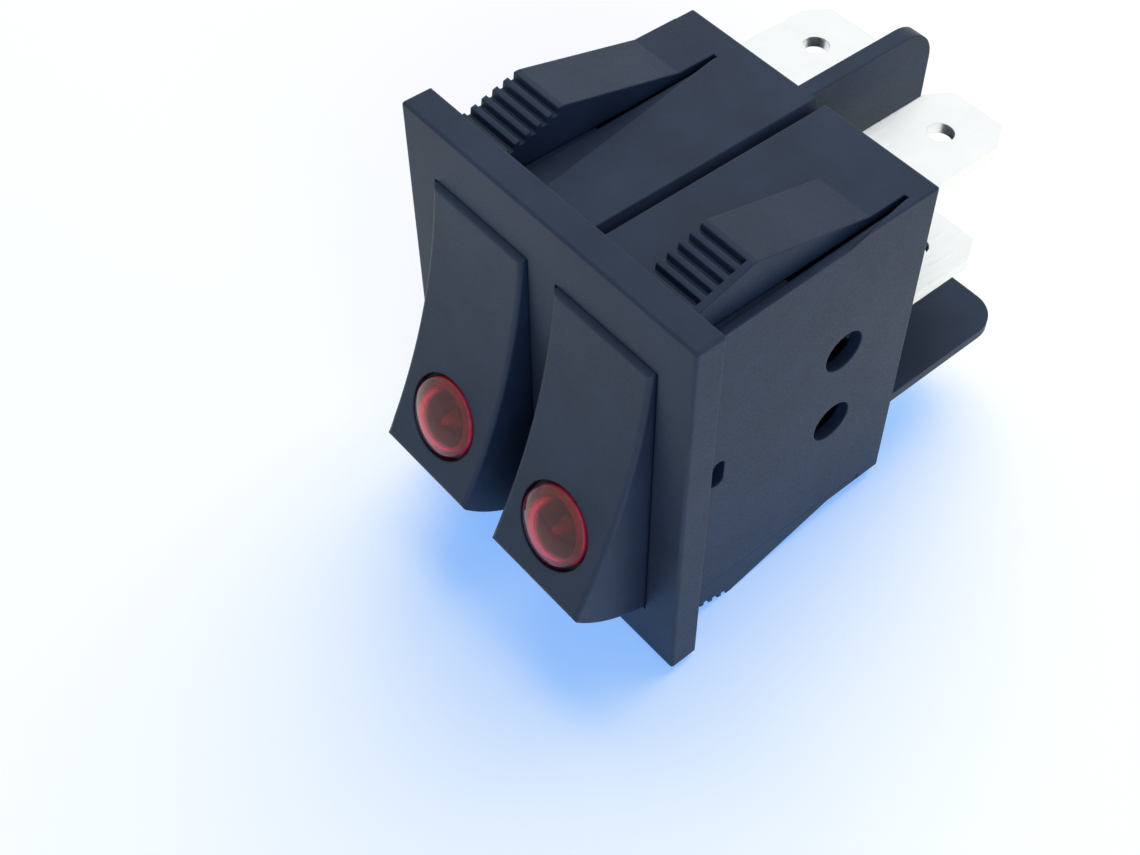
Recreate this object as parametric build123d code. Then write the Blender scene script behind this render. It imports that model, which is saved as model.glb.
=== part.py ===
from build123d import *
from math import atan2, cos, degrees, radians, sin, sqrt, tan
import os

os.makedirs("parts", exist_ok=True)

# Snap-in double rocker switch with a lamp in each rocker. Millimetres.
# X runs across both rockers, Y from the front to the rear, Z along the rockers.
# The origin is the middle of the bezel's rear face, where the panel seats.

# How far a cutter runs past the face that it cuts
overcut = 0.1

# Bezel
bezel_width = 25.0
bezel_height = 31.0
bezel_thickness = 2.0
bezel_edge_radius = 0.2
bezel_corner_radius = 0.25

# Housing box behind the bezel
box_width = 21.2
box_height = 26.4
box_depth = 18.95
box_edge_radius = 0.15
rear_wall = 1.5

# Rocker openings, one each side of a central web
web_thickness = 2.4
side_wall = 0.85
chamber_height = 20.8
well_depth = 7.2

# Rockers
pivot_depth = 1.9
rocker_side_gap = 0.17
rocker_end_gap = 0.11
rocker_throw = 32.0
face_distance = 7.2
face_half_length = 9.7
face_hollow = 0.95
rocker_wall = 1.1
skirt_reach = 1.6
rocker_edge_radius = 0.3
pivot_pin_radius = 1.0
pivot_pin_length = 0.5
pivot_clearance = 0.05
pivot_end_gap = 0.17

# Lens and lamp in each rocker
lens_offset = 5.4
lens_radius = 2.65
lens_dome = 0.85
lens_rim = 0.12
lens_recess = 0.55
lens_recess_gap = 0.25
lens_stem_radius = 2.4
lens_stem_length = 2.9
lens_fit = 0.03
lens_crown_gap = 0.2
lens_bore_taper = 0.4
lens_wall = 0.7
lamp_radius = 1.6
lamp_length = 7.4
lamp_gap = 0.05
lamp_tip_gap = 0.8
lamp_crown_radius = 0.96
pinch_length = 1.4
pinch_width = 2.72
pinch_thickness = 0.9
resistor_radius = 0.85
resistor_waist_radius = 0.75
resistor_cap = 0.68
resistor_length = 4.4
resistor_start = 3.0
resistor_gap = 0.05

# Plunger and its spring
post_radius = 2.2
post_reach = 4.0
bore_radius = 1.45
bore_floor = 0.35
plunger_clearance = 0.06
plunger_tip_radius = 0.9
plunger_reach = 6.9
plunger_tail = 0.5
plunger_shoulder = 0.5
spring_wire = 0.36
spring_radius = 1.05
spring_turns = 5
wire_sides = 6

# See-saw contact blade
blade_thickness = 0.5
blade_width = 5.2
blade_upper = 7.2
blade_lower = 4.6
blade_bend = 7.0
blade_clearance = 0.06
notch_depth = 0.75
notch_height = 1.3

# Contact rivets
rivet_radius = 1.3
rivet_head = 0.7
rivet_chamfer = 0.25
rivet_shank_radius = 0.6
upset_radius = 0.98
upset_height = 0.25
contact_offset = 5.7
contact_gap = 0.03

# Push-on terminals
tab_width = 6.3
tab_thickness = 0.8
tab_end = 28.9
tab_pitch = 9.9
tab_hole_radius = 0.9
tab_hole_setback = 3.5
tab_chamfer = 1.1
tab_taper = 1.76
terminal_width = 5.2
shoulder_width = 7.3
shoulder_length = 1.0
slot_clearance = 0.05
fixed_leg_end = 4.2
bend_radius = 0.5
seat_gap = 0.02
ear_width = 0.6
ear_reach = 0.9
lug_height = 1.7
lug_front = 12.6

# Latch arms on the top and the bottom of the box
arm_width = 4.1
left_arm_start = -10.55
right_arm_start = 5.6
arm_front_gap = 0.35
arm_side_gap = 0.35
arm_under_gap = 0.12
arm_peak = 2.25
arm_peak_depth = 4.85
arm_hinge_depth = 14.0
arm_slot_depth = 16.9
arm_ramp_drop = 1.3
arm_peak_flat = 0.3
root_overlap = 0.5
slit_overlap = 0.05
pocket_depth = 0.75
void_depth = 1.8
void_start = 7.4
void_skin = 0.45
groove_count = 5
groove_pitch = 0.8
groove_depth = 0.36
groove_width = 0.5
groove_setback = 0.45
groove_draft = 0.1
outer_rim = 0.5
scoop_width = 2.9
scoop_depth_rear = 0.25
scoop_slope = 0.45

# Grooves, holes and fins of the housing
seam_start = 0.45
seam_width = 0.85
seam_depth = 0.9
seam_slope = 0.4
side_hole_radius = 1.55
side_hole_depth = 12.7
side_hole_offset = 3.38
window_width = 1.1
window_height = 2.3
window_depth = 2.5
window_drop = 0.25
window_corner = 0.5
fin_reach = 11.15
fin_thickness = 1.15
fin_start = -1.0
fin_corner_radius = 2.6
shelf_top = -5.4
shelf_thickness = 0.8
shelf_corner_radius = 2.3

# Lamp leads
lead_radius = 0.25
lead_spread = 0.8
lead_bend = 0.8
lead_out = 1.3
lead_rise_height = 3.4
load_lead_depth = 5.0
load_lead_drop = 1.7
load_joint_drop = 1.2
lamp_lead_depth = 8.6
lamp_lead_height = 2.3

# Sizes that follow
well_half_width = (box_width / 2 - side_wall - web_thickness / 2) / 2
pole_offset = web_thickness / 2 + well_half_width
tip_radius = sqrt(face_distance**2 + face_half_length**2)
well_radius = tip_radius + rocker_end_gap
rocker_half_width = well_half_width - rocker_side_gap
rest_tilt = -rocker_throw / 2
rear_face = box_depth
inner_rear = box_depth - rear_wall
blade_face = pivot_depth + plunger_reach + blade_clearance
blade_rear = blade_face + blade_thickness
bore_end = face_distance - face_hollow - rocker_wall - bore_floor
face_radius = (face_half_length**2 + face_hollow**2) / (2 * face_hollow)
lens_tilt = degrees(atan2(lens_offset, sqrt(face_radius**2 - lens_offset**2)))
lens_face = face_distance - face_hollow - sqrt(face_radius**2 - lens_offset**2) + face_radius


def block(x0, x1, y0, y1, z0, z1):
    place = Pos((x0 + x1) / 2, (y0 + y1) / 2, (z0 + z1) / 2)
    return place * Box(x1 - x0, y1 - y0, z1 - z0)


def across(outline, x0, x1):
    # A closed outline in Y and Z, carried along X
    face = Plane.YZ.offset(x0) * make_face(outline)
    return extrude(face, amount=x1 - x0)


def rod_x(radius, x0, x1, y, z):
    return Pos((x0 + x1) / 2, y, z) * Rot(0, 90, 0) * Cylinder(radius, x1 - x0)


def rod_y(radius, y0, y1, x, z):
    return Pos(x, (y0 + y1) / 2, z) * Rot(90, 0, 0) * Cylinder(radius, y1 - y0)


def in_rocker(shape, pole):
    # From the rocker's own frame, pivot at its origin, to its resting place
    return Pos(pole, pivot_depth, 0) * Rot(rest_tilt, 0, 0) * shape


def in_blade(shape, pole):
    # From the blade's level frame to its resting tilt about the fulcrum
    return Pos(pole, blade_rear, 0) * Rot(blade_bend, 0, 0) * Pos(0, -blade_rear, 0) * shape


# Housing: bezel, box, chambers, latches and fins in one moulding

def bezel():
    plate = block(
        -bezel_width / 2, bezel_width / 2,
        -bezel_thickness, 0,
        -bezel_height / 2, bezel_height / 2,
    )
    plate = fillet(plate.edges().filter_by(Axis.Y), bezel_corner_radius)
    front = plate.faces().sort_by(Axis.Y)[0]
    return fillet(front.edges(), bezel_edge_radius)


def housing_box():
    box = block(
        -box_width / 2, box_width / 2,
        -bezel_thickness / 2, box_depth,
        -box_height / 2, box_height / 2,
    )
    box = fillet(box.edges().filter_by(Axis.Y), box_edge_radius)
    rear = box.faces().sort_by(Axis.Y)[-1]
    return fillet(rear.edges(), box_edge_radius * 0.8)


def chamber(pole):
    # The well's end walls are round about the pivot, so the rocker's gap stays even
    well = rod_x(well_radius, pole - well_half_width, pole + well_half_width, pivot_depth, 0)
    well = well & block(
        pole - well_half_width, pole + well_half_width,
        -bezel_thickness - 1, well_depth,
        -bezel_height, bezel_height,
    )
    rear = block(
        pole - well_half_width, pole + well_half_width,
        pivot_depth, inner_rear,
        -chamber_height / 2, chamber_height / 2,
    )
    bore_reach = well_half_width + pivot_pin_length
    bore = rod_x(
        pivot_pin_radius + pivot_clearance,
        pole - bore_reach, pole + bore_reach,
        pivot_depth, 0,
    )
    return well + rear + bore


def terminal_slots(pole):
    slots = []
    for row in (-1, 0, 1):
        slot = block(
            pole - tab_width / 2 - slot_clearance, pole + tab_width / 2 + slot_clearance,
            inner_rear - 1, rear_face + 1,
            row * tab_pitch - tab_thickness / 2 - slot_clearance,
            row * tab_pitch + tab_thickness / 2 + slot_clearance,
        )
        slots.append(slot)
    return slots


def arm_pocket(start, outer_side):
    # The recess that an arm springs in, with a deeper space behind its head.
    # The slit beside the arm narrows to nothing at the hinge.
    top = box_height / 2
    floor = top - pocket_depth
    x0 = start - arm_side_gap
    x1 = start + arm_width + arm_side_gap
    open_x0 = x0
    hinge_x0 = start + slit_overlap
    void_x0 = x0
    if outer_side < 0:
        open_x0 = -box_width / 2 - 1
        hinge_x0 = open_x0
        void_x0 = -box_width / 2 + void_skin
    outline = make_face(Polyline(
        (open_x0, 0), (open_x0, arm_peak_depth), (hinge_x0, arm_hinge_depth), (hinge_x0, arm_slot_depth),
        (x1, arm_slot_depth), (x1, 0),
        close=True,
    ))
    pocket = extrude(Plane.XY.offset(floor) * outline, amount=pocket_depth + 1)
    void = block(void_x0, x1, void_start, arm_slot_depth, top - void_depth, floor)
    return pocket + void


def arm_scoop(start):
    # A hollow beside the arm that narrows towards the hinge
    top = box_height / 2
    above = top + overcut
    x0 = start + arm_width - arm_side_gap
    x1 = start + arm_width + scoop_width
    rear_x1 = start + arm_width + arm_side_gap
    front = Plane.XZ * make_face(Polyline(
        (x0, above), (x1, above),
        (x1 - scoop_slope, top - pocket_depth), (x0, top - pocket_depth),
        close=True,
    ))
    rear = Plane.XZ.offset(-arm_slot_depth) * make_face(Polyline(
        (x0, above), (rear_x1, above),
        (rear_x1 - scoop_slope / 2, top - scoop_depth_rear), (x0, top - scoop_depth_rear),
        close=True,
    ))
    return loft([front, rear], ruled=True)


def arm_grooves(start, x1):
    top = box_height / 2
    slope = atan2(arm_ramp_drop, arm_peak_depth - arm_front_gap)
    cutters = []
    half = groove_width / 2
    for index in range(groove_count):
        y = arm_peak_depth - groove_setback - index * groove_pitch
        z = top + arm_peak - (arm_peak_depth - y) * tan(slope)
        groove = across(Polyline(
            (y - half, z + groove_depth), (y + half, z + groove_depth),
            (y + half - groove_draft, z - groove_depth), (y - half, z - groove_depth),
            close=True,
        ), start - 1, x1)
        cutters.append(groove)
    return cutters


def latch_arm(start, outer_side):
    # A grooved ramp and a long wedge, thin at the hinge where it bends
    top = box_height / 2
    floor = top - pocket_depth + arm_under_gap
    peak = top + arm_peak
    arm_root = arm_slot_depth + root_overlap
    profile = Polyline(
        (arm_front_gap, floor),
        (arm_front_gap, peak - arm_ramp_drop),
        (arm_peak_depth - arm_peak_flat / 2, peak),
        (arm_peak_depth + arm_peak_flat / 2, peak),
        (arm_hinge_depth, top),
        (arm_root, top),
        (arm_root, floor),
        close=True,
    )
    arm = across(profile, start, start + arm_width)
    x1 = start + arm_width + 1
    if outer_side > 0:
        x1 = start + arm_width - outer_rim
    for cutter in arm_grooves(start, x1):
        arm -= cutter
    return arm


def seam():
    # A groove down the middle, sloped on its left and upright on its right
    top = box_height / 2
    floor = top - seam_depth
    x1 = seam_start + seam_width
    outline = Plane.XZ * make_face(Polyline(
        (seam_start, top + overcut), (seam_start, top), (seam_start + seam_slope, floor),
        (x1, floor), (x1, top + overcut),
        close=True,
    ))
    return extrude(outline, amount=rear_face + overcut, dir=(0, 1, 0))


def rear_fins():
    upright = across(
        Polyline(
            (rear_face - root_overlap, -box_height / 2), (rear_face - root_overlap, box_height / 2),
            (rear_face + fin_reach, box_height / 2), (rear_face + fin_reach, -box_height / 2),
            close=True,
        ),
        fin_start, fin_start + fin_thickness,
    )
    outer = upright.edges().filter_by(Axis.X).sort_by(Axis.Y)[-2:]
    upright = fillet(outer, fin_corner_radius)
    shelf = block(
        -box_width / 2, box_width / 2,
        rear_face - root_overlap, rear_face + fin_reach,
        shelf_top - shelf_thickness, shelf_top,
    )
    corners = shelf.edges().filter_by(Axis.Z).sort_by(Axis.Y)[-2:]
    shelf = fillet(corners, shelf_corner_radius)
    return upright + shelf


def side_openings(side):
    # Two round holes and the narrow window of the pivot, in one side wall
    outer = side * (box_width / 2 + 1)
    inner = side * (box_width / 2 - side_wall - 0.5)
    x0, x1 = sorted((outer, inner))
    cutters = []
    for row in (-1, 1):
        cutters.append(rod_x(side_hole_radius, x0, x1, side_hole_depth, row * side_hole_offset))
    window = block(
        x0, x1,
        window_depth - window_width / 2, window_depth + window_width / 2,
        -window_drop - window_height / 2, -window_drop + window_height / 2,
    )
    window = fillet(window.edges().filter_by(Axis.X), window_corner)
    cutters.append(window)
    return cutters


def housing():
    body = bezel() + housing_box() + rear_fins()
    arms = ((left_arm_start, -1), (right_arm_start, 1))
    # The underside is the top turned half round about the depth
    for turn in (0, 180):
        cutters = [seam()]
        added = []
        for start, outer_side in arms:
            cutters.append(arm_pocket(start, outer_side))
            cutters.append(arm_scoop(start))
            added.append(latch_arm(start, outer_side))
        for cutter in cutters:
            body -= Rot(0, turn, 0) * cutter
        for arm in added:
            body += Rot(0, turn, 0) * arm
    for pole in (-pole_offset, pole_offset):
        body -= chamber(pole)
        for slot in terminal_slots(pole):
            body -= slot
    for side in (-1, 1):
        for cutter in side_openings(side):
            body -= cutter
    return body


# Rocker: hollow moulding with a concave face, pivot pins and a plunger post

def rocker_outline(face, half_length, hollow, radius, reach):
    rear = sqrt(radius**2 - reach**2)
    middle = (face - reach) / 2
    side = sqrt(radius**2 - middle**2)
    return make_face(
        ThreePointArc((-face, half_length), (hollow - face, 0), (-face, -half_length))
        + ThreePointArc((-face, -half_length), (-middle, -side), (reach, -rear))
        + Line((reach, -rear), (reach, rear))
        + ThreePointArc((reach, rear), (-middle, side), (-face, half_length))
    )


def rocker_shell():
    outer = rocker_outline(face_distance, face_half_length, face_hollow, tip_radius, skirt_reach)
    shell = extrude(Plane.YZ.offset(-rocker_half_width) * outer, amount=2 * rocker_half_width)
    front = shell.faces().sort_by(Axis.Y)[0]
    shell = fillet(front.edges(), rocker_edge_radius)
    inner_radius = tip_radius - rocker_wall
    inner_face = face_distance - rocker_wall
    inner_half = sqrt(inner_radius**2 - inner_face**2)
    inner = rocker_outline(inner_face, inner_half, face_hollow, inner_radius, skirt_reach + 1)
    inner_half_width = rocker_half_width - rocker_wall
    hollow = extrude(Plane.YZ.offset(-inner_half_width) * inner, amount=2 * inner_half_width)
    return shell - hollow


def lens_place():
    # The lens axis is square to the concave face; +Z of this place points out
    face_point = Pos(0, -lens_face, -lens_offset)
    return face_point * Rot(90 - lens_tilt, 0, 0)


def rocker():
    body = rocker_shell()
    post_front = face_distance - face_hollow - rocker_wall / 2
    body += rod_y(post_radius, -post_front, post_reach, 0, 0)
    body -= rod_y(bore_radius, -bore_end, post_reach + 1, 0, 0)
    reach = rocker_half_width + pivot_pin_length - pivot_end_gap + rocker_side_gap
    for side in (-1, 1):
        x0, x1 = sorted((side * (rocker_half_width - rocker_wall / 2), side * reach))
        body += rod_x(pivot_pin_radius, x0, x1, 0, 0)
    recess = Pos(0, 0, 1 - lens_recess) * Cylinder(lens_radius + lens_recess_gap, 2)
    hole = Cylinder(lens_stem_radius + lens_fit, 2 * lens_stem_length)
    body -= lens_place() * recess
    body -= lens_place() * hole
    return body


def lens():
    rim_top = lens_rim
    dome_top = lens_rim + lens_dome
    dome_radius = (lens_radius**2 + lens_dome**2) / (2 * lens_dome)
    shoulder = dome_top - dome_radius + sqrt(dome_radius**2 - lens_radius**2 / 4)
    bore = lamp_radius + lamp_gap
    bottom = -lens_recess - lens_stem_length
    bore_top = -lens_recess - lens_crown_gap
    bore_shoulder = bore_top - lens_bore_taper
    outline = make_face(
        Line((0, bore_top), (bore, bore_shoulder))
        + Line((bore, bore_shoulder), (bore, bottom))
        + Line((bore, bottom), (lens_stem_radius, bottom))
        + Line((lens_stem_radius, bottom), (lens_stem_radius, -lens_recess))
        + Line((lens_stem_radius, -lens_recess), (lens_radius, -lens_recess))
        + Line((lens_radius, -lens_recess), (lens_radius, rim_top))
        + ThreePointArc((lens_radius, rim_top), (lens_radius / 2, shoulder), (0, dome_top))
        + Line((0, dome_top), (0, bore_top))
    )
    button = revolve(Plane.XZ * outline, Axis.Z)
    return lens_place() * button


def lamp():
    top = -lens_recess - lens_wall
    bottom = top - lamp_length
    glass_length = lamp_length - pinch_length - lamp_tip_gap
    glass = Pos(0, 0, bottom + pinch_length + glass_length / 2) * Cylinder(lamp_radius, glass_length)
    crown = glass.faces().sort_by(Axis.Z)[-1].edges()
    glass = fillet(crown, lamp_crown_radius)
    pinch = Pos(0, 0, bottom + pinch_length / 2 + overcut) * Box(
        pinch_width, pinch_thickness, pinch_length + 2 * overcut
    )
    return lens_place() * (glass + pinch)


def resistor_place():
    # Beside the rocker's inner wall and behind its face; +Z runs along the resistor
    inner_face = face_distance - rocker_wall - face_hollow
    x = -(rocker_half_width - rocker_wall - resistor_radius - resistor_gap)
    return Pos(x, resistor_radius + resistor_gap - inner_face, resistor_start)


def resistor():
    core = Pos(0, 0, resistor_length / 2) * Cylinder(resistor_waist_radius, resistor_length)
    for z in (resistor_cap / 2, resistor_length - resistor_cap / 2):
        core += Pos(0, 0, z) * Cylinder(resistor_radius, resistor_cap)
    return resistor_place() * core


# Plunger and spring in the rocker's post

def plunger():
    stem = bore_radius - plunger_clearance
    stem_end = post_reach + plunger_shoulder
    centre = plunger_reach - plunger_tip_radius
    outline = make_face(
        Line((0, plunger_tail), (stem, plunger_tail))
        + Line((stem, plunger_tail), (stem, stem_end))
        + Line((stem, stem_end), (plunger_tip_radius, centre))
        + ThreePointArc(
            (plunger_tip_radius, centre),
            (plunger_tip_radius * cos(radians(45)), centre + plunger_tip_radius * sin(radians(45))),
            (0, plunger_reach),
        )
        + Line((0, plunger_reach), (0, plunger_tail))
    )
    return Rot(-90, 0, 0) * revolve(Plane.XZ * outline, Axis.Z)


def plunger_spring():
    start = -bore_end + spring_wire / 2 + seat_gap
    end = plunger_tail - spring_wire / 2 - seat_gap
    height = end - start
    path = Helix(pitch=height / spring_turns, height=height, radius=spring_radius)
    section = Plane(origin=path @ 0, z_dir=path % 0) * RegularPolygon(spring_wire / 2, wire_sides)
    coil = sweep(section, path=path)
    return Pos(0, start, 0) * Rot(-90, 0, 0) * coil


# See-saw blade with its rivet, and the fixed rivet that it closes on

def blade():
    drop_upper = blade_upper * sin(radians(blade_bend))
    drop_lower = blade_lower * sin(radians(blade_bend))
    top = blade_upper * cos(radians(blade_bend))
    low = blade_lower * cos(radians(blade_bend))
    strip = across(Polyline(
        (blade_face, 0), (blade_face - drop_upper, top),
        (blade_rear - drop_upper, top), (blade_rear, 0),
        (blade_rear - drop_lower, -low), (blade_face - drop_lower, -low),
        close=True,
    ), -blade_width / 2, blade_width / 2)
    for side in (-1, 1):
        x0, x1 = sorted((side * (blade_width / 2 - notch_depth), side * (blade_width / 2 + 1)))
        strip -= block(x0, x1, blade_face - 1, blade_rear + 1, -notch_height / 2, notch_height / 2)
    strip -= contact_place() * Cylinder(rivet_shank_radius, 4 * blade_thickness)
    return strip


def contact_place():
    # On the upper wing's rear face; +Z points towards the fixed contact
    y = blade_rear - contact_offset * sin(radians(blade_bend))
    z = contact_offset * cos(radians(blade_bend))
    return Pos(0, y, z) * Rot(blade_bend - 90, 0, 0)


def rivet(grip):
    # The contact face points along +Z; the shank is upset behind what it grips
    head = Pos(0, 0, rivet_head / 2) * Cylinder(rivet_radius, rivet_head)
    rim = head.faces().sort_by(Axis.Z)[-1].edges()
    head = chamfer(rim, rivet_chamfer)
    shank = Pos(0, 0, -grip / 2) * Cylinder(rivet_shank_radius, grip)
    upset = Pos(0, 0, -grip - upset_height / 2) * Cylinder(upset_radius, upset_height)
    return head + shank + upset


def moving_rivet():
    return contact_place() * rivet(blade_thickness)


def fixed_face():
    # Where the fixed terminal's leg begins, behind both closed rivet heads
    return blade_rear + 2 * rivet_head + contact_gap


def fixed_rivet():
    return Pos(0, fixed_face(), contact_offset) * Rot(90, 0, 0) * rivet(tab_thickness)


# Terminals: stamped strips with a push-on tab outside and a working end inside

def tab(level):
    outline = Polyline(
        (-tab_width / 2, inner_rear), (tab_width / 2, inner_rear),
        (tab_width / 2, tab_end - tab_taper), (tab_width / 2 - tab_chamfer, tab_end),
        (-tab_width / 2 + tab_chamfer, tab_end), (-tab_width / 2, tab_end - tab_taper),
        close=True,
    )
    blank = extrude(
        Plane.XY.offset(level - tab_thickness / 2) * make_face(outline),
        amount=tab_thickness,
    )
    blank -= Pos(0, tab_end - tab_hole_setback, level) * Cylinder(tab_hole_radius, 2 * tab_thickness)
    shoulder = block(
        -shoulder_width / 2, shoulder_width / 2,
        inner_rear - shoulder_length, inner_rear,
        level - tab_thickness / 2, level + tab_thickness / 2,
    )
    return blank + shoulder


def load_terminal():
    # The strip turns down inside and carries the fixed contact
    front = fixed_face()
    level = tab_pitch
    strip = block(
        -terminal_width / 2, terminal_width / 2,
        front, inner_rear - shoulder_length,
        level - tab_thickness / 2, level + tab_thickness / 2,
    )
    leg = block(
        -terminal_width / 2, terminal_width / 2,
        front, front + tab_thickness,
        fixed_leg_end, level + tab_thickness / 2,
    )
    bracket = strip + leg
    outer = bracket.edges().filter_by(Axis.X).sort_by(Axis.Z)[-2:].sort_by(Axis.Y)[0]
    bracket = fillet(outer, bend_radius)
    bracket -= rod_y(rivet_shank_radius, front - 1, front + tab_thickness + 1, 0, contact_offset)
    return tab(level) + bracket


def supply_terminal():
    # The strip ends in a fulcrum edge between two ears that hold the blade
    front = blade_rear + seat_gap
    strip = block(
        -terminal_width / 2, terminal_width / 2,
        front, inner_rear - shoulder_length,
        -tab_thickness / 2, tab_thickness / 2,
    )
    for side in (-1, 1):
        x0, x1 = sorted((side * (terminal_width / 2 - ear_width), side * terminal_width / 2))
        strip += block(x0, x1, front - ear_reach, front + ear_width, -tab_thickness / 2, tab_thickness / 2)
    return tab(0) + strip


def lamp_terminal():
    # The strip ends in an upturned lug for the lamp's lead
    level = -tab_pitch
    strip = block(
        -terminal_width / 2, terminal_width / 2,
        lug_front, inner_rear - shoulder_length,
        level - tab_thickness / 2, level + tab_thickness / 2,
    )
    lug = block(
        -terminal_width / 2, terminal_width / 2,
        lug_front, lug_front + tab_thickness,
        level - tab_thickness / 2, level + lug_height,
    )
    bracket = strip + lug
    outer = bracket.edges().filter_by(Axis.X).sort_by(Axis.Z)[:2].sort_by(Axis.Y)[0]
    bracket = fillet(outer, bend_radius)
    return tab(level) + bracket


# Bare leads of the lamp and its resistor

def wire(points):
    # A round wire along straight runs joined by bends
    path = FilletPolyline(*points, radius=lead_bend)
    section = Plane(origin=path @ 0, z_dir=path % 0) * RegularPolygon(lead_radius, wire_sides)
    return sweep(section, path=path)


def at(place):
    return place.position


def lamp_end(x, reach):
    # A point on the lamp's axis direction, reach beyond its pinched end
    return lens_place() * Pos(x, 0, -lens_recess - lens_wall - lamp_length - reach)


def resistor_lead():
    # From the lamp, beside the plunger post, to the resistor's lower end
    x = -(post_radius + rocker_half_width - rocker_wall) / 2
    return wire([
        at(lamp_end(-lead_spread, 0)),
        at(lamp_end(-lead_spread, lead_out)),
        Vector(x, skirt_reach + lead_bend, -lead_rise_height),
        Vector(x, -face_distance / 3, -lead_bend / 2),
        at(resistor_place() * Pos(0, 0, -lead_bend)),
        at(resistor_place()),
    ])


def load_lead():
    # From the resistor's upper end to the load terminal
    start = in_rocker(resistor_place() * Pos(0, 0, resistor_length), 0)
    rise = in_rocker(resistor_place() * Pos(0, 0, resistor_length + lead_out), 0)
    x = start.position.X
    return wire([
        at(start),
        at(rise),
        Vector(x, load_lead_depth, tab_pitch - load_lead_drop),
        Vector(x, fixed_face(), tab_pitch - load_joint_drop),
    ])


def lamp_lead():
    # From the lamp to the lug of its own terminal
    start = in_rocker(lamp_end(lead_spread, 0), 0)
    out = in_rocker(lamp_end(lead_spread, 2 * lead_out), 0)
    x = start.position.X
    return wire([
        at(start),
        at(out),
        Vector(x, lamp_lead_depth, -tab_pitch + lamp_lead_height),
        Vector(x, lug_front, -tab_pitch + lug_height / 2),
    ])


def save(shape, name):
    export_step(shape, "parts/" + name + ".step")


save(housing(), "housing")
for pole, side in ((-pole_offset, "left"), (pole_offset, "right")):
    save(in_rocker(rocker(), pole), "rocker_" + side)
    save(in_rocker(lens(), pole), "lens_" + side)
    save(in_rocker(lamp(), pole), "neon_lamp_" + side)
    save(in_rocker(resistor(), pole), "resistor_" + side)
    save(in_rocker(resistor_lead(), pole), "resistor_lead_" + side)
    save(in_rocker(plunger(), pole), "plunger_" + side)
    save(in_rocker(plunger_spring(), pole), "plunger_spring_" + side)
    save(in_blade(blade(), pole), "contact_blade_" + side)
    save(in_blade(moving_rivet(), pole), "moving_contact_" + side)
    save(Pos(pole, 0, 0) * fixed_rivet(), "fixed_contact_" + side)
    save(Pos(pole, 0, 0) * load_terminal(), "load_terminal_" + side)
    save(Pos(pole, 0, 0) * supply_terminal(), "supply_terminal_" + side)
    save(Pos(pole, 0, 0) * lamp_terminal(), "lamp_terminal_" + side)
    save(Pos(pole, 0, 0) * load_lead(), "load_lead_" + side)
    save(Pos(pole, 0, 0) * lamp_lead(), "lamp_lead_" + side)
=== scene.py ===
import bpy
import bmesh
from math import radians, sin, cos, sqrt, asin
from mathutils import Matrix, Vector


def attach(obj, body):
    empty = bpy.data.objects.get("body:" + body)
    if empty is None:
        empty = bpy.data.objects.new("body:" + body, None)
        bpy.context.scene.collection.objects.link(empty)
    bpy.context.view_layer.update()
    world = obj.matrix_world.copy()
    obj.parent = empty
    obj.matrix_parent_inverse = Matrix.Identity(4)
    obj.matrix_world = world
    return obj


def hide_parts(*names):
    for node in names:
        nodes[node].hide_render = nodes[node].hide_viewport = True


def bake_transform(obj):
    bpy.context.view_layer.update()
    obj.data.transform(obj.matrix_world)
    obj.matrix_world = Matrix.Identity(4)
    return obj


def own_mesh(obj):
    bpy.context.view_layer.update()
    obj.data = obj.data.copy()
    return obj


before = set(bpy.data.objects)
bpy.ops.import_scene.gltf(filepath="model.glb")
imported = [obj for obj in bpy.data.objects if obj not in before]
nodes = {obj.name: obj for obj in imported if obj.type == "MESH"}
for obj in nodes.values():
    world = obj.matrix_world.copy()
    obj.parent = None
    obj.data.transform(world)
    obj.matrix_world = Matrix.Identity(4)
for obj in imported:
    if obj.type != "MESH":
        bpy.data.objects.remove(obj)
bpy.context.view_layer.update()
print("frame loaded:", len(nodes), "nodes")

scene = bpy.context.scene
mm = 0.001

# camera, at the photograph's angle

camera = {
    "azimuth": 43.628,       # degrees, from the front towards the right
    "elevation": 50.722,
    "roll": 4.937,
    "place": (49.48, -40.25, 76.29),   # mm
    "lens": 50.91,
    "shift": (-0.114, -0.01535),
}


def aimCamera(settings):
    az, el, roll = (radians(settings[key]) for key in ("azimuth", "elevation", "roll"))
    back = Vector((sin(az) * cos(el), -cos(az) * cos(el), sin(el)))
    level = Vector((cos(az), sin(az), 0))
    upright = back.cross(level)
    right = level * cos(roll) + upright * sin(roll)
    up = upright * cos(roll) - level * sin(roll)
    data = bpy.data.cameras.new("photoCamera")
    data.sensor_width = 36
    data.lens = settings["lens"]
    data.shift_x, data.shift_y = settings["shift"]
    data.clip_start = 0.005
    data.clip_end = 5
    holder = bpy.data.objects.new("photoCamera", data)
    scene.collection.objects.link(holder)
    turn = Matrix((right, up, back)).transposed().to_4x4()
    holder.matrix_world = Matrix.Translation(Vector(settings["place"]) * mm) @ turn
    scene.camera = holder


aimCamera(camera)
print("camera placed")

# floor, world and lamps

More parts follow.
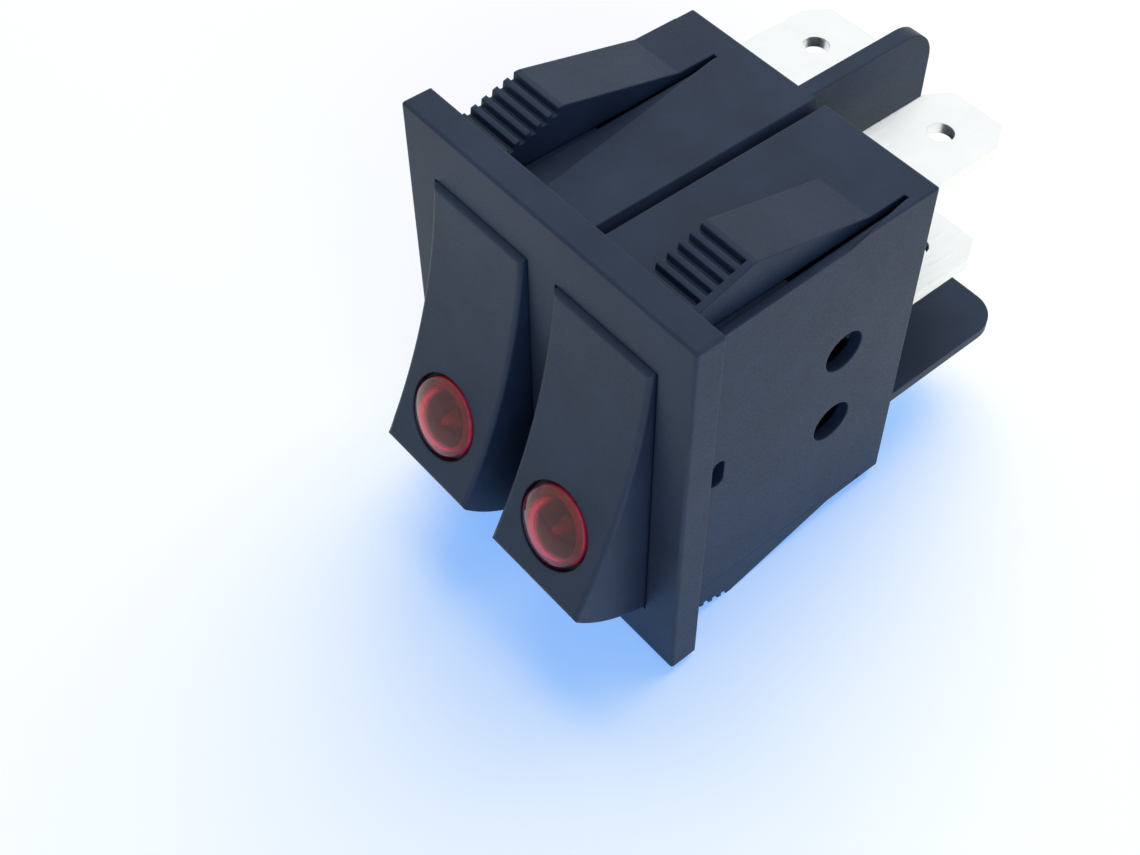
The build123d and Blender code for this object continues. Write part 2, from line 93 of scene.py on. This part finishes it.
floor = {
    "touchFront": (0, 4.85, -15.45),   # mm, the lower latch arms' tips
    "touchRear": (0, 27.5, -13.2),     # mm, the upright fin's lower edge
    "size": 1.6,                        # metres
    "litColour": (0.93, 0.66, 0.05),
    "shadeColour": (0.1, 0.32, 0.95),
    "bounceColour": (0.7, 0.84, 1.0),   # what the floor throws back on the object
    "bounceGlow": (0.06, 0.16, 0.36),
}
light = {
    "keyFrom": (-0.22, 0.42, 0.9),      # direction towards the lamp
    "keyDistance": 0.8,
    "keySize": 0.9,
    "keyPower": 7.3,
    "keyColour": (0.97, 0.98, 1.0),
    "sideFrom": (0.75, -0.4, 0.34),
    "sideDistance": 0.5,
    "sideSize": 0.4,
    "sidePower": 1.7,
    "sideColour": (0.34, 0.6, 1.0),
    "fillColour": (0.66, 0.82, 1.0),
    "fillStrength": 0.27,
    "shineColour": (0.97, 1.0, 1.0),    # what metal and glossy faces reflect
}


def link(tree, out, into):
    tree.links.new(out, into)


def seenRays(tree):
    # 1 where the eye, a glossy face or a clear piece looks, 0 for light that bounces
    paths = tree.nodes.new("ShaderNodeLightPath")
    total = paths.outputs["Is Camera Ray"]
    for kind in ("Is Glossy Ray", "Is Transmission Ray"):
        add = tree.nodes.new("ShaderNodeMath")
        add.operation = "ADD"
        add.use_clamp = True
        link(tree, total, add.inputs[0])
        link(tree, paths.outputs[kind], add.inputs[1])
        total = add.outputs[0]
    return total


def makeFloor(settings):
    front = Vector(settings["touchFront"]) * mm
    rear = Vector(settings["touchRear"]) * mm
    slope = (rear.z - front.z) / (rear.y - front.y)
    mesh = bpy.data.meshes.new("floor")
    bm = bmesh.new()
    bmesh.ops.create_grid(bm, x_segments=1, y_segments=1, size=settings["size"] / 2)
    for vert in bm.verts:
        vert.co.z = front.z + (vert.co.y - front.y) * slope
    bm.to_mesh(mesh)
    bm.free()
    plane = bpy.data.objects.new("floor", mesh)
    scene.collection.objects.link(plane)
    paint = bpy.data.materials.new("floorPaint")
    paint.use_nodes = True
    tree = paint.node_tree
    tree.nodes.clear()
    out = tree.nodes.new("ShaderNodeOutputMaterial")
    seen = tree.nodes.new("ShaderNodeBsdfDiffuse")
    seen.inputs["Color"].default_value = (*settings["litColour"], 1)
    glow = tree.nodes.new("ShaderNodeEmission")
    glow.inputs["Color"].default_value = (*settings["shadeColour"], 1)
    both = tree.nodes.new("ShaderNodeAddShader")
    plain = tree.nodes.new("ShaderNodeBsdfDiffuse")
    plain.inputs["Color"].default_value = (*settings["bounceColour"], 1)
    thrownGlow = tree.nodes.new("ShaderNodeEmission")
    thrownGlow.inputs["Color"].default_value = (*settings["bounceGlow"], 1)
    thrown = tree.nodes.new("ShaderNodeAddShader")
    pick = tree.nodes.new("ShaderNodeMixShader")
    link(tree, seen.outputs[0], both.inputs[0])
    link(tree, glow.outputs[0], both.inputs[1])
    link(tree, plain.outputs[0], thrown.inputs[0])
    link(tree, thrownGlow.outputs[0], thrown.inputs[1])
    link(tree, seenRays(tree), pick.inputs[0])
    link(tree, thrown.outputs[0], pick.inputs[1])
    link(tree, both.outputs[0], pick.inputs[2])
    link(tree, pick.outputs[0], out.inputs[0])
    mesh.materials.append(paint)


def makeWorld(settings):
    world = bpy.data.worlds.new("studio")
    scene.world = world
    world.use_nodes = True
    tree = world.node_tree
    tree.nodes.clear()
    out = tree.nodes.new("ShaderNodeOutputWorld")
    fill = tree.nodes.new("ShaderNodeBackground")
    fill.inputs["Color"].default_value = (*settings["fillColour"], 1)
    fill.inputs["Strength"].default_value = settings["fillStrength"]
    shine = tree.nodes.new("ShaderNodeBackground")
    shine.inputs["Color"].default_value = (*settings["shineColour"], 1)
    white = tree.nodes.new("ShaderNodeBackground")
    white.inputs["Color"].default_value = (1, 1, 1, 1)
    paths = tree.nodes.new("ShaderNodeLightPath")
    glossy = tree.nodes.new("ShaderNodeMixShader")
    link(tree, paths.outputs["Is Glossy Ray"], glossy.inputs[0])
    link(tree, fill.outputs[0], glossy.inputs[1])
    link(tree, shine.outputs[0], glossy.inputs[2])
    pick = tree.nodes.new("ShaderNodeMixShader")
    link(tree, paths.outputs["Is Camera Ray"], pick.inputs[0])
    link(tree, glossy.outputs[0], pick.inputs[1])
    link(tree, white.outputs[0], pick.inputs[2])
    link(tree, pick.outputs[0], out.inputs[0])


def makeLamp(settings, which):
    data = bpy.data.lights.new(which + "Light", "AREA")
    data.shape = "DISK"
    data.size = settings[which + "Size"]
    data.energy = settings[which + "Power"]
    data.color = settings[which + "Colour"]
    lamp = bpy.data.objects.new(which + "Light", data)
    scene.collection.objects.link(lamp)
    way = Vector(settings[which + "From"]).normalized()
    lamp.rotation_euler = way.to_track_quat("Z", "Y").to_euler()
    lamp.location = way * settings[which + "Distance"] + Vector((0, 0.01, 0))
    lamp.visible_glossy = False   # glossy faces mirror the even studio, not the lamp


makeFloor(floor)
makeWorld(light)
makeLamp(light, "key")
makeLamp(light, "side")
scene.view_settings.view_transform = "Standard"
print("stage ready")

# materials


def startMaterial(name, roughness, metallic=0.0):
    mat = bpy.data.materials.new(name)
    mat.use_nodes = True
    tree = mat.node_tree
    tree.nodes.clear()
    out = tree.nodes.new("ShaderNodeOutputMaterial")
    shader = tree.nodes.new("ShaderNodeBsdfPrincipled")
    shader.inputs["Roughness"].default_value = roughness
    shader.inputs["Metallic"].default_value = metallic
    link(tree, shader.outputs[0], out.inputs[0])
    where = tree.nodes.new("ShaderNodeTexCoord")
    return mat, tree, shader, where.outputs["Object"]


def noise(tree, place, scale, detail=3.0, roughness=0.55, stretch=None):
    if stretch:
        mapping = tree.nodes.new("ShaderNodeMapping")
        mapping.inputs["Scale"].default_value = stretch
        link(tree, place, mapping.inputs["Vector"])
        place = mapping.outputs[0]
    tex = tree.nodes.new("ShaderNodeTexNoise")
    tex.inputs["Scale"].default_value = scale
    tex.inputs["Detail"].default_value = detail
    tex.inputs["Roughness"].default_value = roughness
    link(tree, place, tex.inputs["Vector"])
    return tex.outputs["Fac"]


def ramp(tree, value, stops):
    bar = tree.nodes.new("ShaderNodeValToRGB")
    while len(bar.color_ramp.elements) < len(stops):
        bar.color_ramp.elements.new(0.5)
    for element, (at, colour) in zip(bar.color_ramp.elements, stops):
        element.position = at
        element.color = (*colour, 1)
    link(tree, value, bar.inputs[0])
    return bar.outputs["Color"]


def span(tree, value, low, high, fromLow=0.0, fromHigh=1.0):
    node = tree.nodes.new("ShaderNodeMapRange")
    node.inputs["From Min"].default_value = fromLow
    node.inputs["From Max"].default_value = fromHigh
    node.inputs["To Min"].default_value = low
    node.inputs["To Max"].default_value = high
    link(tree, value, node.inputs["Value"])
    return node.outputs[0]


def bump(tree, height, strength, distance, normal=None):
    node = tree.nodes.new("ShaderNodeBump")
    node.inputs["Strength"].default_value = strength
    node.inputs["Distance"].default_value = distance
    link(tree, height, node.inputs["Height"])
    if normal is not None:
        link(tree, normal, node.inputs["Normal"])
    return node.outputs[0]


def blendColour(tree, amount, first, second, mode="MIX"):
    node = tree.nodes.new("ShaderNodeMix")
    node.data_type = "RGBA"
    node.blend_type = mode
    link(tree, amount, node.inputs[0])
    for value, socket in ((first, node.inputs[6]), (second, node.inputs[7])):
        if isinstance(value, tuple):
            socket.default_value = (*value, 1)
        else:
            link(tree, value, socket)
    return node.outputs[2]


def roundedEdges(tree, radius):
    # The shading of softly rounded moulded edges, and a mask of where they are
    soft = tree.nodes.new("ShaderNodeBevel")
    soft.samples = 6
    soft.inputs["Radius"].default_value = radius
    flat = tree.nodes.new("ShaderNodeNewGeometry")
    dot = tree.nodes.new("ShaderNodeVectorMath")
    dot.operation = "DOT_PRODUCT"
    link(tree, soft.outputs[0], dot.inputs[0])
    link(tree, flat.outputs["Normal"], dot.inputs[1])
    return soft.outputs[0], span(tree, dot.outputs["Value"], 1.0, 0.0, 0.8, 0.995)


plastic = {
    "dark": (0.0105, 0.0148, 0.028),
    "light": (0.016, 0.0225, 0.042),
    # lighter colour on rounded edges: rub wear and painted highlight
    "edge": (0.023, 0.032, 0.052),
    "shine": 0.34,
    "shineTint": (0.7, 0.88, 1.0),
    "edgeRadius": 0.00018,
    "grain": 9000,
    "grainHeight": 0.000006,
    "cloudScale": 260,
}


def mouldedPlastic(name, settings, roughness, grainStrength):
    mat, tree, shader, place = startMaterial(name, roughness)
    shader.inputs["Specular IOR Level"].default_value = settings["shine"]
    shader.inputs["Specular Tint"].default_value = (*settings["shineTint"], 1)
    cloud = noise(tree, place, settings["cloudScale"], 5.0)
    base = ramp(tree, cloud, [(0.3, settings["dark"]), (0.7, settings["light"])])
    softNormal, edge = roundedEdges(tree, settings["edgeRadius"])
    # Rounded edges turn patchily lighter: partly rub wear, partly a painted highlight along them
    edgeWearAndSheen = tree.nodes.new("ShaderNodeMath")
    edgeWearAndSheen.operation = "MULTIPLY"
    link(tree, edge, edgeWearAndSheen.inputs[0])
    patchy = noise(tree, place, 900, 4.0)
    link(tree, span(tree, patchy, 0.05, 0.8, 0.35, 0.7), edgeWearAndSheen.inputs[1])
    colour = blendColour(tree, edgeWearAndSheen.outputs[0], base, settings["edge"])
    link(tree, colour, shader.inputs["Base Color"])
    fine = noise(tree, place, settings["grain"], 2.0)
    matt = span(tree, fine, roughness - 0.07, roughness + 0.09, 0.3, 0.7)
    link(tree, matt, shader.inputs["Roughness"])
    grain = bump(tree, fine, grainStrength, settings["grainHeight"], softNormal)
    link(tree, grain, shader.inputs["Normal"])
    return mat


metalEdgeRadius = 0.00006


def platedMetal(name, dark, light, roughness, scratch=0.25):
    mat, tree, shader, place = startMaterial(name, roughness, 1.0)
    cloud = noise(tree, place, 420, 4.0)
    link(tree, ramp(tree, cloud, [(0.3, dark), (0.7, light)]), shader.inputs["Base Color"])
    lines = noise(tree, place, 5200, 3.0, 0.6, (1.0, 0.06, 1.0))
    brushed = span(tree, lines, roughness - 0.08, roughness + 0.12, 0.3, 0.7)
    link(tree, brushed, shader.inputs["Roughness"])
    softNormal = roundedEdges(tree, metalEdgeRadius)[0]
    link(tree, bump(tree, lines, scratch, 0.000004, softNormal), shader.inputs["Normal"])
    return mat


def clearGlass(name, colour, roughness, clear=1.0):
    mat, tree, shader, place = startMaterial(name, roughness)
    shader.inputs["Transmission Weight"].default_value = clear
    shader.inputs["IOR"].default_value = 1.5
    haze = noise(tree, place, 1500, 3.0)
    paler = tuple(min(1, c * 1.05) for c in colour)
    link(tree, ramp(tree, haze, [(0.3, colour), (0.7, paler)]), shader.inputs["Base Color"])
    link(tree, span(tree, haze, roughness, roughness + 0.05, 0.3, 0.7), shader.inputs["Roughness"])
    return mat


capLook = {"deep": (0.34, 0.012, 0.03), "bright": (0.6, 0.04, 0.07), "clear": 0.95}
wallLook = {"deep": (0.62, 0.02, 0.045), "bright": (0.85, 0.05, 0.08), "clear": 0.2}


def redLens(name, settings):
    mat, tree, shader, place = startMaterial(name, 0.06)
    shader.inputs["IOR"].default_value = 1.49
    shader.inputs["Specular IOR Level"].default_value = 0.42
    shader.inputs["Transmission Weight"].default_value = settings["clear"]
    haze = noise(tree, place, 700, 4.0)
    stops = [(0.35, settings["deep"]), (0.75, settings["bright"])]
    link(tree, ramp(tree, haze, stops), shader.inputs["Base Color"])
    polish = span(tree, noise(tree, place, 6000, 3.0), 0.03, 0.14, 0.35, 0.75)
    link(tree, polish, shader.inputs["Roughness"])
    return mat


housingPlastic = mouldedPlastic("housingPlastic", plastic, 0.5, 0.5)
rockerPlastic = mouldedPlastic("rockerPlastic", {**plastic, "grainHeight": 0.000004}, 0.46, 0.4)
tabMetal = platedMetal("tabMetal", (0.93, 0.94, 0.94), (0.98, 0.985, 0.985), 0.34, 0.12)
bladeMetal = platedMetal("bladeMetal", (0.62, 0.5, 0.34), (0.82, 0.72, 0.55), 0.32)
contactSilver = platedMetal("contactSilver", (0.78, 0.77, 0.74), (0.93, 0.92, 0.9), 0.24, 0.15)
springSteel = platedMetal("springSteel", (0.42, 0.42, 0.43), (0.62, 0.62, 0.63), 0.34)
tinnedWire = platedMetal("tinnedWire", (0.6, 0.6, 0.6), (0.82, 0.82, 0.81), 0.3)
lampGlass = clearGlass("lampGlass", (0.95, 0.9, 0.86), 0.02)
# pale, nearly opaque tip glass: the lamp's real tip, with a painted highlight in its paleness
frostedTip = clearGlass("frostedTip", (0.93, 0.88, 0.85), 0.25, 0.15)
lensWall = redLens("lensWall", wallLook)


def nylon(name):
    mat, tree, shader, place = startMaterial(name, 0.42)
    shader.inputs["Subsurface Weight"].default_value = 0.15
    shader.inputs["Subsurface Radius"].default_value = (0.001, 0.0008, 0.0006)
    cloud = noise(tree, place, 500, 4.0)
    stops = [(0.3, (0.62, 0.6, 0.54)), (0.7, (0.76, 0.74, 0.68))]
    link(tree, ramp(tree, cloud, stops), shader.inputs["Base Color"])
    link(tree, bump(tree, noise(tree, place, 7000), 0.3, 0.000004), shader.inputs["Normal"])
    return mat


resistorLook = {
    "pale": (0.52, 0.36, 0.2),
    "tan": (0.42, 0.28, 0.15),
    "bands": [             # mm along the body from its middle, and the colour
        (-0.9, (0.45, 0.16, 0.03)), (-0.3, (0.03, 0.025, 0.025)),
        (0.3, (0.7, 0.6, 0.05)), (1.15, (0.6, 0.42, 0.1)),
    ],
    "bandWidth": 0.34,     # mm
    "tilt": -16.0,         # degrees, as the rocker that carries it
}


def bandedResistor(name, part, settings):
    # Lacquered body with colour bands round it, measured from the middle of its length
    corners = [vert.co for vert in part.data.vertices]
    middle = []
    for axis in range(3):
        along = [corner[axis] for corner in corners]
        middle.append((min(along) + max(along)) / 2)
    mat, tree, shader, place = startMaterial(name, 0.28)
    cloud = noise(tree, place, 900, 4.0)
    colour = ramp(tree, cloud, [(0.3, settings["tan"]), (0.7, settings["pale"])])
    straight = tree.nodes.new("ShaderNodeMapping")
    straight.vector_type = "TEXTURE"
    straight.inputs["Location"].default_value = middle
    straight.inputs["Rotation"].default_value = (radians(settings["tilt"]), 0, 0)
    link(tree, place, straight.inputs["Vector"])
    split = tree.nodes.new("ShaderNodeSeparateXYZ")
    link(tree, straight.outputs[0], split.inputs[0])
    for at, paint in settings["bands"]:
        near = tree.nodes.new("ShaderNodeMath")
        near.operation = "COMPARE"
        near.inputs[1].default_value = at * mm
        near.inputs[2].default_value = settings["bandWidth"] / 2 * mm
        link(tree, split.outputs["Z"], near.inputs[0])
        colour = blendColour(tree, near.outputs[0], colour, paint)
    link(tree, colour, shader.inputs["Base Color"])
    link(tree, bump(tree, cloud, 0.2, 0.00001), shader.inputs["Normal"])
    return mat


plungerNylon = nylon("plungerNylon")
resistorLacquer = bandedResistor("resistorLacquer", nodes["resistor_left"], resistorLook)
finishes = {
    "housing": housingPlastic, "rocker": rockerPlastic, "lens": lensWall, "neon_lamp": lampGlass,
    "resistor": resistorLacquer, "resistor_lead": tinnedWire, "load_lead": tinnedWire, "lamp_lead": tinnedWire,
    "plunger": plungerNylon, "plunger_spring": springSteel, "contact_blade": bladeMetal,
    "moving_contact": contactSilver, "fixed_contact": contactSilver,
    "load_terminal": tabMetal, "supply_terminal": tabMetal, "lamp_terminal": tabMetal,
}
for name, part in nodes.items():
    stem = name.replace("_left", "").replace("_right", "")
    part.data.materials.clear()
    part.data.materials.append(finishes[stem])
print("materials on every node")

# lenses

lensShape = {
    "poles": {"left": -5.475, "right": 5.475},   # mm
    "pivot": (1.9, 0.0),
    "restTilt": -16.0,
    "faceDistance": 7.2, "faceHalfLength": 9.7, "faceHollow": 0.95,
    "offset": 5.4,                # below the pivot, along the rocker's face
    "radius": 2.65, "rim": 0.12, "dome": 0.85, "recess": 0.55,
    "stemRadius": 2.4, "stemLength": 2.9, "bore": 2.0, "crown": 0.5,
}


def lensPlace(settings, side):
    # Square to the hollow face, which is an arc about a point in front of it
    pole = settings["poles"][side]
    hollow, offset = settings["faceHollow"], settings["offset"]
    curve = (settings["faceHalfLength"]**2 + hollow**2) / (2 * hollow)
    depth = settings["faceDistance"] - hollow - sqrt(curve**2 - offset**2) + curve
    return (
        Matrix.Translation(Vector((pole, settings["pivot"][0], settings["pivot"][1])) * mm)
        @ Matrix.Rotation(radians(settings["restTilt"]), 4, "X")
        @ Matrix.Translation(Vector((0, -depth, -offset)) * mm)
        @ Matrix.Rotation(radians(90) - asin(offset / curve), 4, "X")
    )


def spun(name, points, steps=96):
    # A closed outline of radius and height pairs in mm, spun about Z
    bm = bmesh.new()
    verts = [bm.verts.new((r * mm, 0, z * mm)) for r, z in points]
    edges = [bm.edges.new((a, b)) for a, b in zip(verts, verts[1:])]
    bmesh.ops.spin(
        bm, geom=verts + edges, cent=(0, 0, 0), axis=(0, 0, 1), angle=radians(360),
        steps=steps, use_merge=True, use_duplicate=False,
    )
    bmesh.ops.remove_doubles(bm, verts=bm.verts, dist=0.000002)
    bmesh.ops.recalc_face_normals(bm, faces=bm.faces)
    mesh = bpy.data.meshes.new(name)
    bm.to_mesh(mesh)
    bm.free()
    for poly in mesh.polygons:
        poly.use_smooth = True
    piece = bpy.data.objects.new(name, mesh)
    scene.collection.objects.link(piece)
    return piece


crescentLook = {
    "outer": (0.42, 0.15, 2.0),   # mm in the lens's own frame: X, Y and radius
    "inner": (1.05, 0.75, 1.95),
    "soft": 0.4,                  # mm over which its edges fade
    "clear": 0.2,
    "colour": (1.0, 0.035, 0.07),
}


def paintCrescent(mat, place, settings):
    # Stands for the light that the photographed lens catches inside: painted, not refracted
    tree = mat.node_tree
    shader = next(node for node in tree.nodes if node.type == "BSDF_PRINCIPLED")
    where = next(node for node in tree.nodes if node.type == "TEX_COORD").outputs["Object"]
    straight = tree.nodes.new("ShaderNodeMapping")
    straight.vector_type = "TEXTURE"
    straight.inputs["Location"].default_value = place.to_translation()
    straight.inputs["Rotation"].default_value = place.to_euler()
    link(tree, where, straight.inputs["Vector"])
    flat = tree.nodes.new("ShaderNodeVectorMath")
    flat.operation = "MULTIPLY"
    flat.inputs[1].default_value = (1, 1, 0)
    link(tree, straight.outputs[0], flat.inputs[0])
    masks = []
    for key, low, high in (("outer", 1.0, 0.0), ("inner", 0.0, 1.0)):
        x, y, radius = settings[key]
        far = tree.nodes.new("ShaderNodeVectorMath")
        far.operation = "DISTANCE"
        far.inputs[1].default_value = (x * mm, y * mm, 0)
        link(tree, flat.outputs[0], far.inputs[0])
        soft = settings["soft"] / 2
        near, past = (radius - soft) * mm, (radius + soft) * mm
        masks.append(span(tree, far.outputs["Value"], low, high, near, past))
    crescent = tree.nodes.new("ShaderNodeMath")
    crescent.operation = "MULTIPLY"
    for mask, socket in zip(masks, crescent.inputs):
        link(tree, mask, socket)
    amount = crescent.outputs[0]
    base = shader.inputs["Base Color"].links[0].from_socket
    painted = blendColour(tree, amount, base, settings["colour"])
    link(tree, painted, shader.inputs["Base Color"])
    through = shader.inputs["Transmission Weight"]
    link(tree, span(tree, amount, through.default_value, settings["clear"]), through)


def makeLens(settings, side):
    radius, rim, dome = settings["radius"], settings["rim"], settings["dome"]
    curve = (radius**2 + dome**2) / (2 * dome)
    points = [(0, rim + dome)]
    for step in range(1, 13):
        r = radius * step / 12
        points.append((r, rim + dome - curve + sqrt(curve**2 - r**2)))
    bottom = -settings["recess"] - settings["stemLength"]
    bore, crown = settings["bore"], settings["crown"]
    points += [
        (radius, -settings["recess"]), (settings["stemRadius"], -settings["recess"]),
        (settings["stemRadius"], bottom), (bore, bottom),
    ]
    # The inside follows the dome, a wall's thickness below it
    for step in range(12, -1, -1):
        r = bore * step / 12
        points.append((r, rim + dome - crown - curve + sqrt(curve**2 - r**2)))
    piece = spun("lensCap" + side.capitalize(), points)
    cap = redLens("lensRed" + side.capitalize(), capLook)
    paintCrescent(cap, lensPlace(settings, side), crescentLook)
    piece.data.materials.append(cap)
    piece.data.materials.append(lensWall)
    for poly in piece.data.polygons:
        poly.material_index = 1 if poly.center.z < -0.00001 else 0
    piece.data.transform(lensPlace(settings, side))
    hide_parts("lens_" + side)
    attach(piece, "rocker_body_" + side)


for side in ("left", "right"):
    makeLens(lensShape, side)
print("lenses made")

# electrodes and glass tips of the neon lamps

electrodes = {
    "radius": 0.22, "spread": 0.8,       # mm
    "top": -2.6, "bottom": -8.6,         # along the lens's axis, from its seat
    "segments": 20, "edge": 0.06,
    "tip": [                             # radius and height
        (0, -0.1), (0.14, -0.14), (0.28, -0.34), (0.36, -0.65),
        (0.44, -1.0), (0.62, -1.2), (0.62, -1.3), (0, -1.3),
    ],
    "tipDown": 0.42,                     # below the lens's axis
}


def makeElectrodes(settings, side):
    height = settings["top"] - settings["bottom"]
    bm = bmesh.new()
    for x in (-settings["spread"], settings["spread"]):
        middle = Vector((x, 0, settings["bottom"] + height / 2)) * mm
        bmesh.ops.create_cone(
            bm, cap_ends=True, segments=settings["segments"], radius1=settings["radius"] * mm,
            radius2=settings["radius"] * mm, depth=height * mm, matrix=Matrix.Translation(middle),
        )
    level = 0.01 * mm
    ends = [
        edge for edge in bm.edges
        if abs(edge.verts[0].co.z - edge.verts[1].co.z) < level
    ]
    bmesh.ops.bevel(
        bm, geom=ends, offset=settings["edge"] * mm, affect="EDGES",
        segments=2, profile=0.5, material=-1,
    )
    mesh = bpy.data.meshes.new("electrodes" + side.capitalize())
    bm.transform(lensPlace(lensShape, side))
    bm.to_mesh(mesh)
    bm.free()
    piece = bpy.data.objects.new("electrodes" + side.capitalize(), mesh)
    scene.collection.objects.link(piece)
    piece.data.materials.append(contactSilver)
    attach(piece, "rocker_body_" + side)
    # The sealed tip of the lamp's glass, under the lens; its pale, nearly opaque glass is partly a painted
    # highlight
    tip = spun("lampTip" + side.capitalize(), settings["tip"], 32)
    down = Matrix.Translation((0, -settings["tipDown"] * mm, 0))
    tip.data.transform(lensPlace(lensShape, side) @ down)
    tip.data.materials.append(frostedTip)
    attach(tip, "rocker_body_" + side)


for side in ("left", "right"):
    makeElectrodes(electrodes, side)
print("electrodes made")

# springs and leads, merged copies of their parts

softParts = {
    "poles": {"left": -5.475, "right": 5.475},          # mm, as the places below
    "springAnchor": (-2.714, 1.323),                    # Y and Z of the spring's inner end
    "springAxis": (0, -0.9612617, 0.2756374),
    "springLength": 5.28, "stroke": 0.8,
    "lampLead": {"fixed": (12.4, -9.0), "moving": (2.6, -6.85)},
    "loadLead": {"fixed": (10.6, 8.75), "moving": (0.3, 8.3)},
}


def mergedCopy(name, node):
    bm = bmesh.new()
    bm.from_mesh(nodes[node].data)
    bmesh.ops.remove_doubles(bm, verts=bm.verts, dist=0.0000005)
    mesh = bpy.data.meshes.new(name)
    bm.to_mesh(mesh)
    bm.free()
    for poly in mesh.polygons:
        poly.use_smooth = True
    piece = bpy.data.objects.new(name, mesh)
    scene.collection.objects.link(piece)
    return piece


def makeSpring(side):
    piece = mergedCopy("plungerCoil" + side.capitalize(), "plunger_spring_" + side)
    piece.data.materials.append(springSteel)
    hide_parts("plunger_spring_" + side)
    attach(piece, "rocker_body_" + side)
    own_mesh(piece)


def makeLead(settings, which, node, side):
    piece = mergedCopy(which + side.capitalize(), node + "_" + side)
    piece.data.materials.append(tinnedWire)
    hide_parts(node + "_" + side)
    pole = settings["poles"][side]
    ends = (settings[which][key] for key in ("fixed", "moving"))
    start, end = (tuple(Vector((pole, *end)) * mm) for end in ends)
    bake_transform(piece)


for side in ("left", "right"):
    makeSpring(side)
    makeLead(softParts, "lampLead", "lamp_lead", side)
    makeLead(softParts, "loadLead", "load_lead", side)
print("springs and leads made")
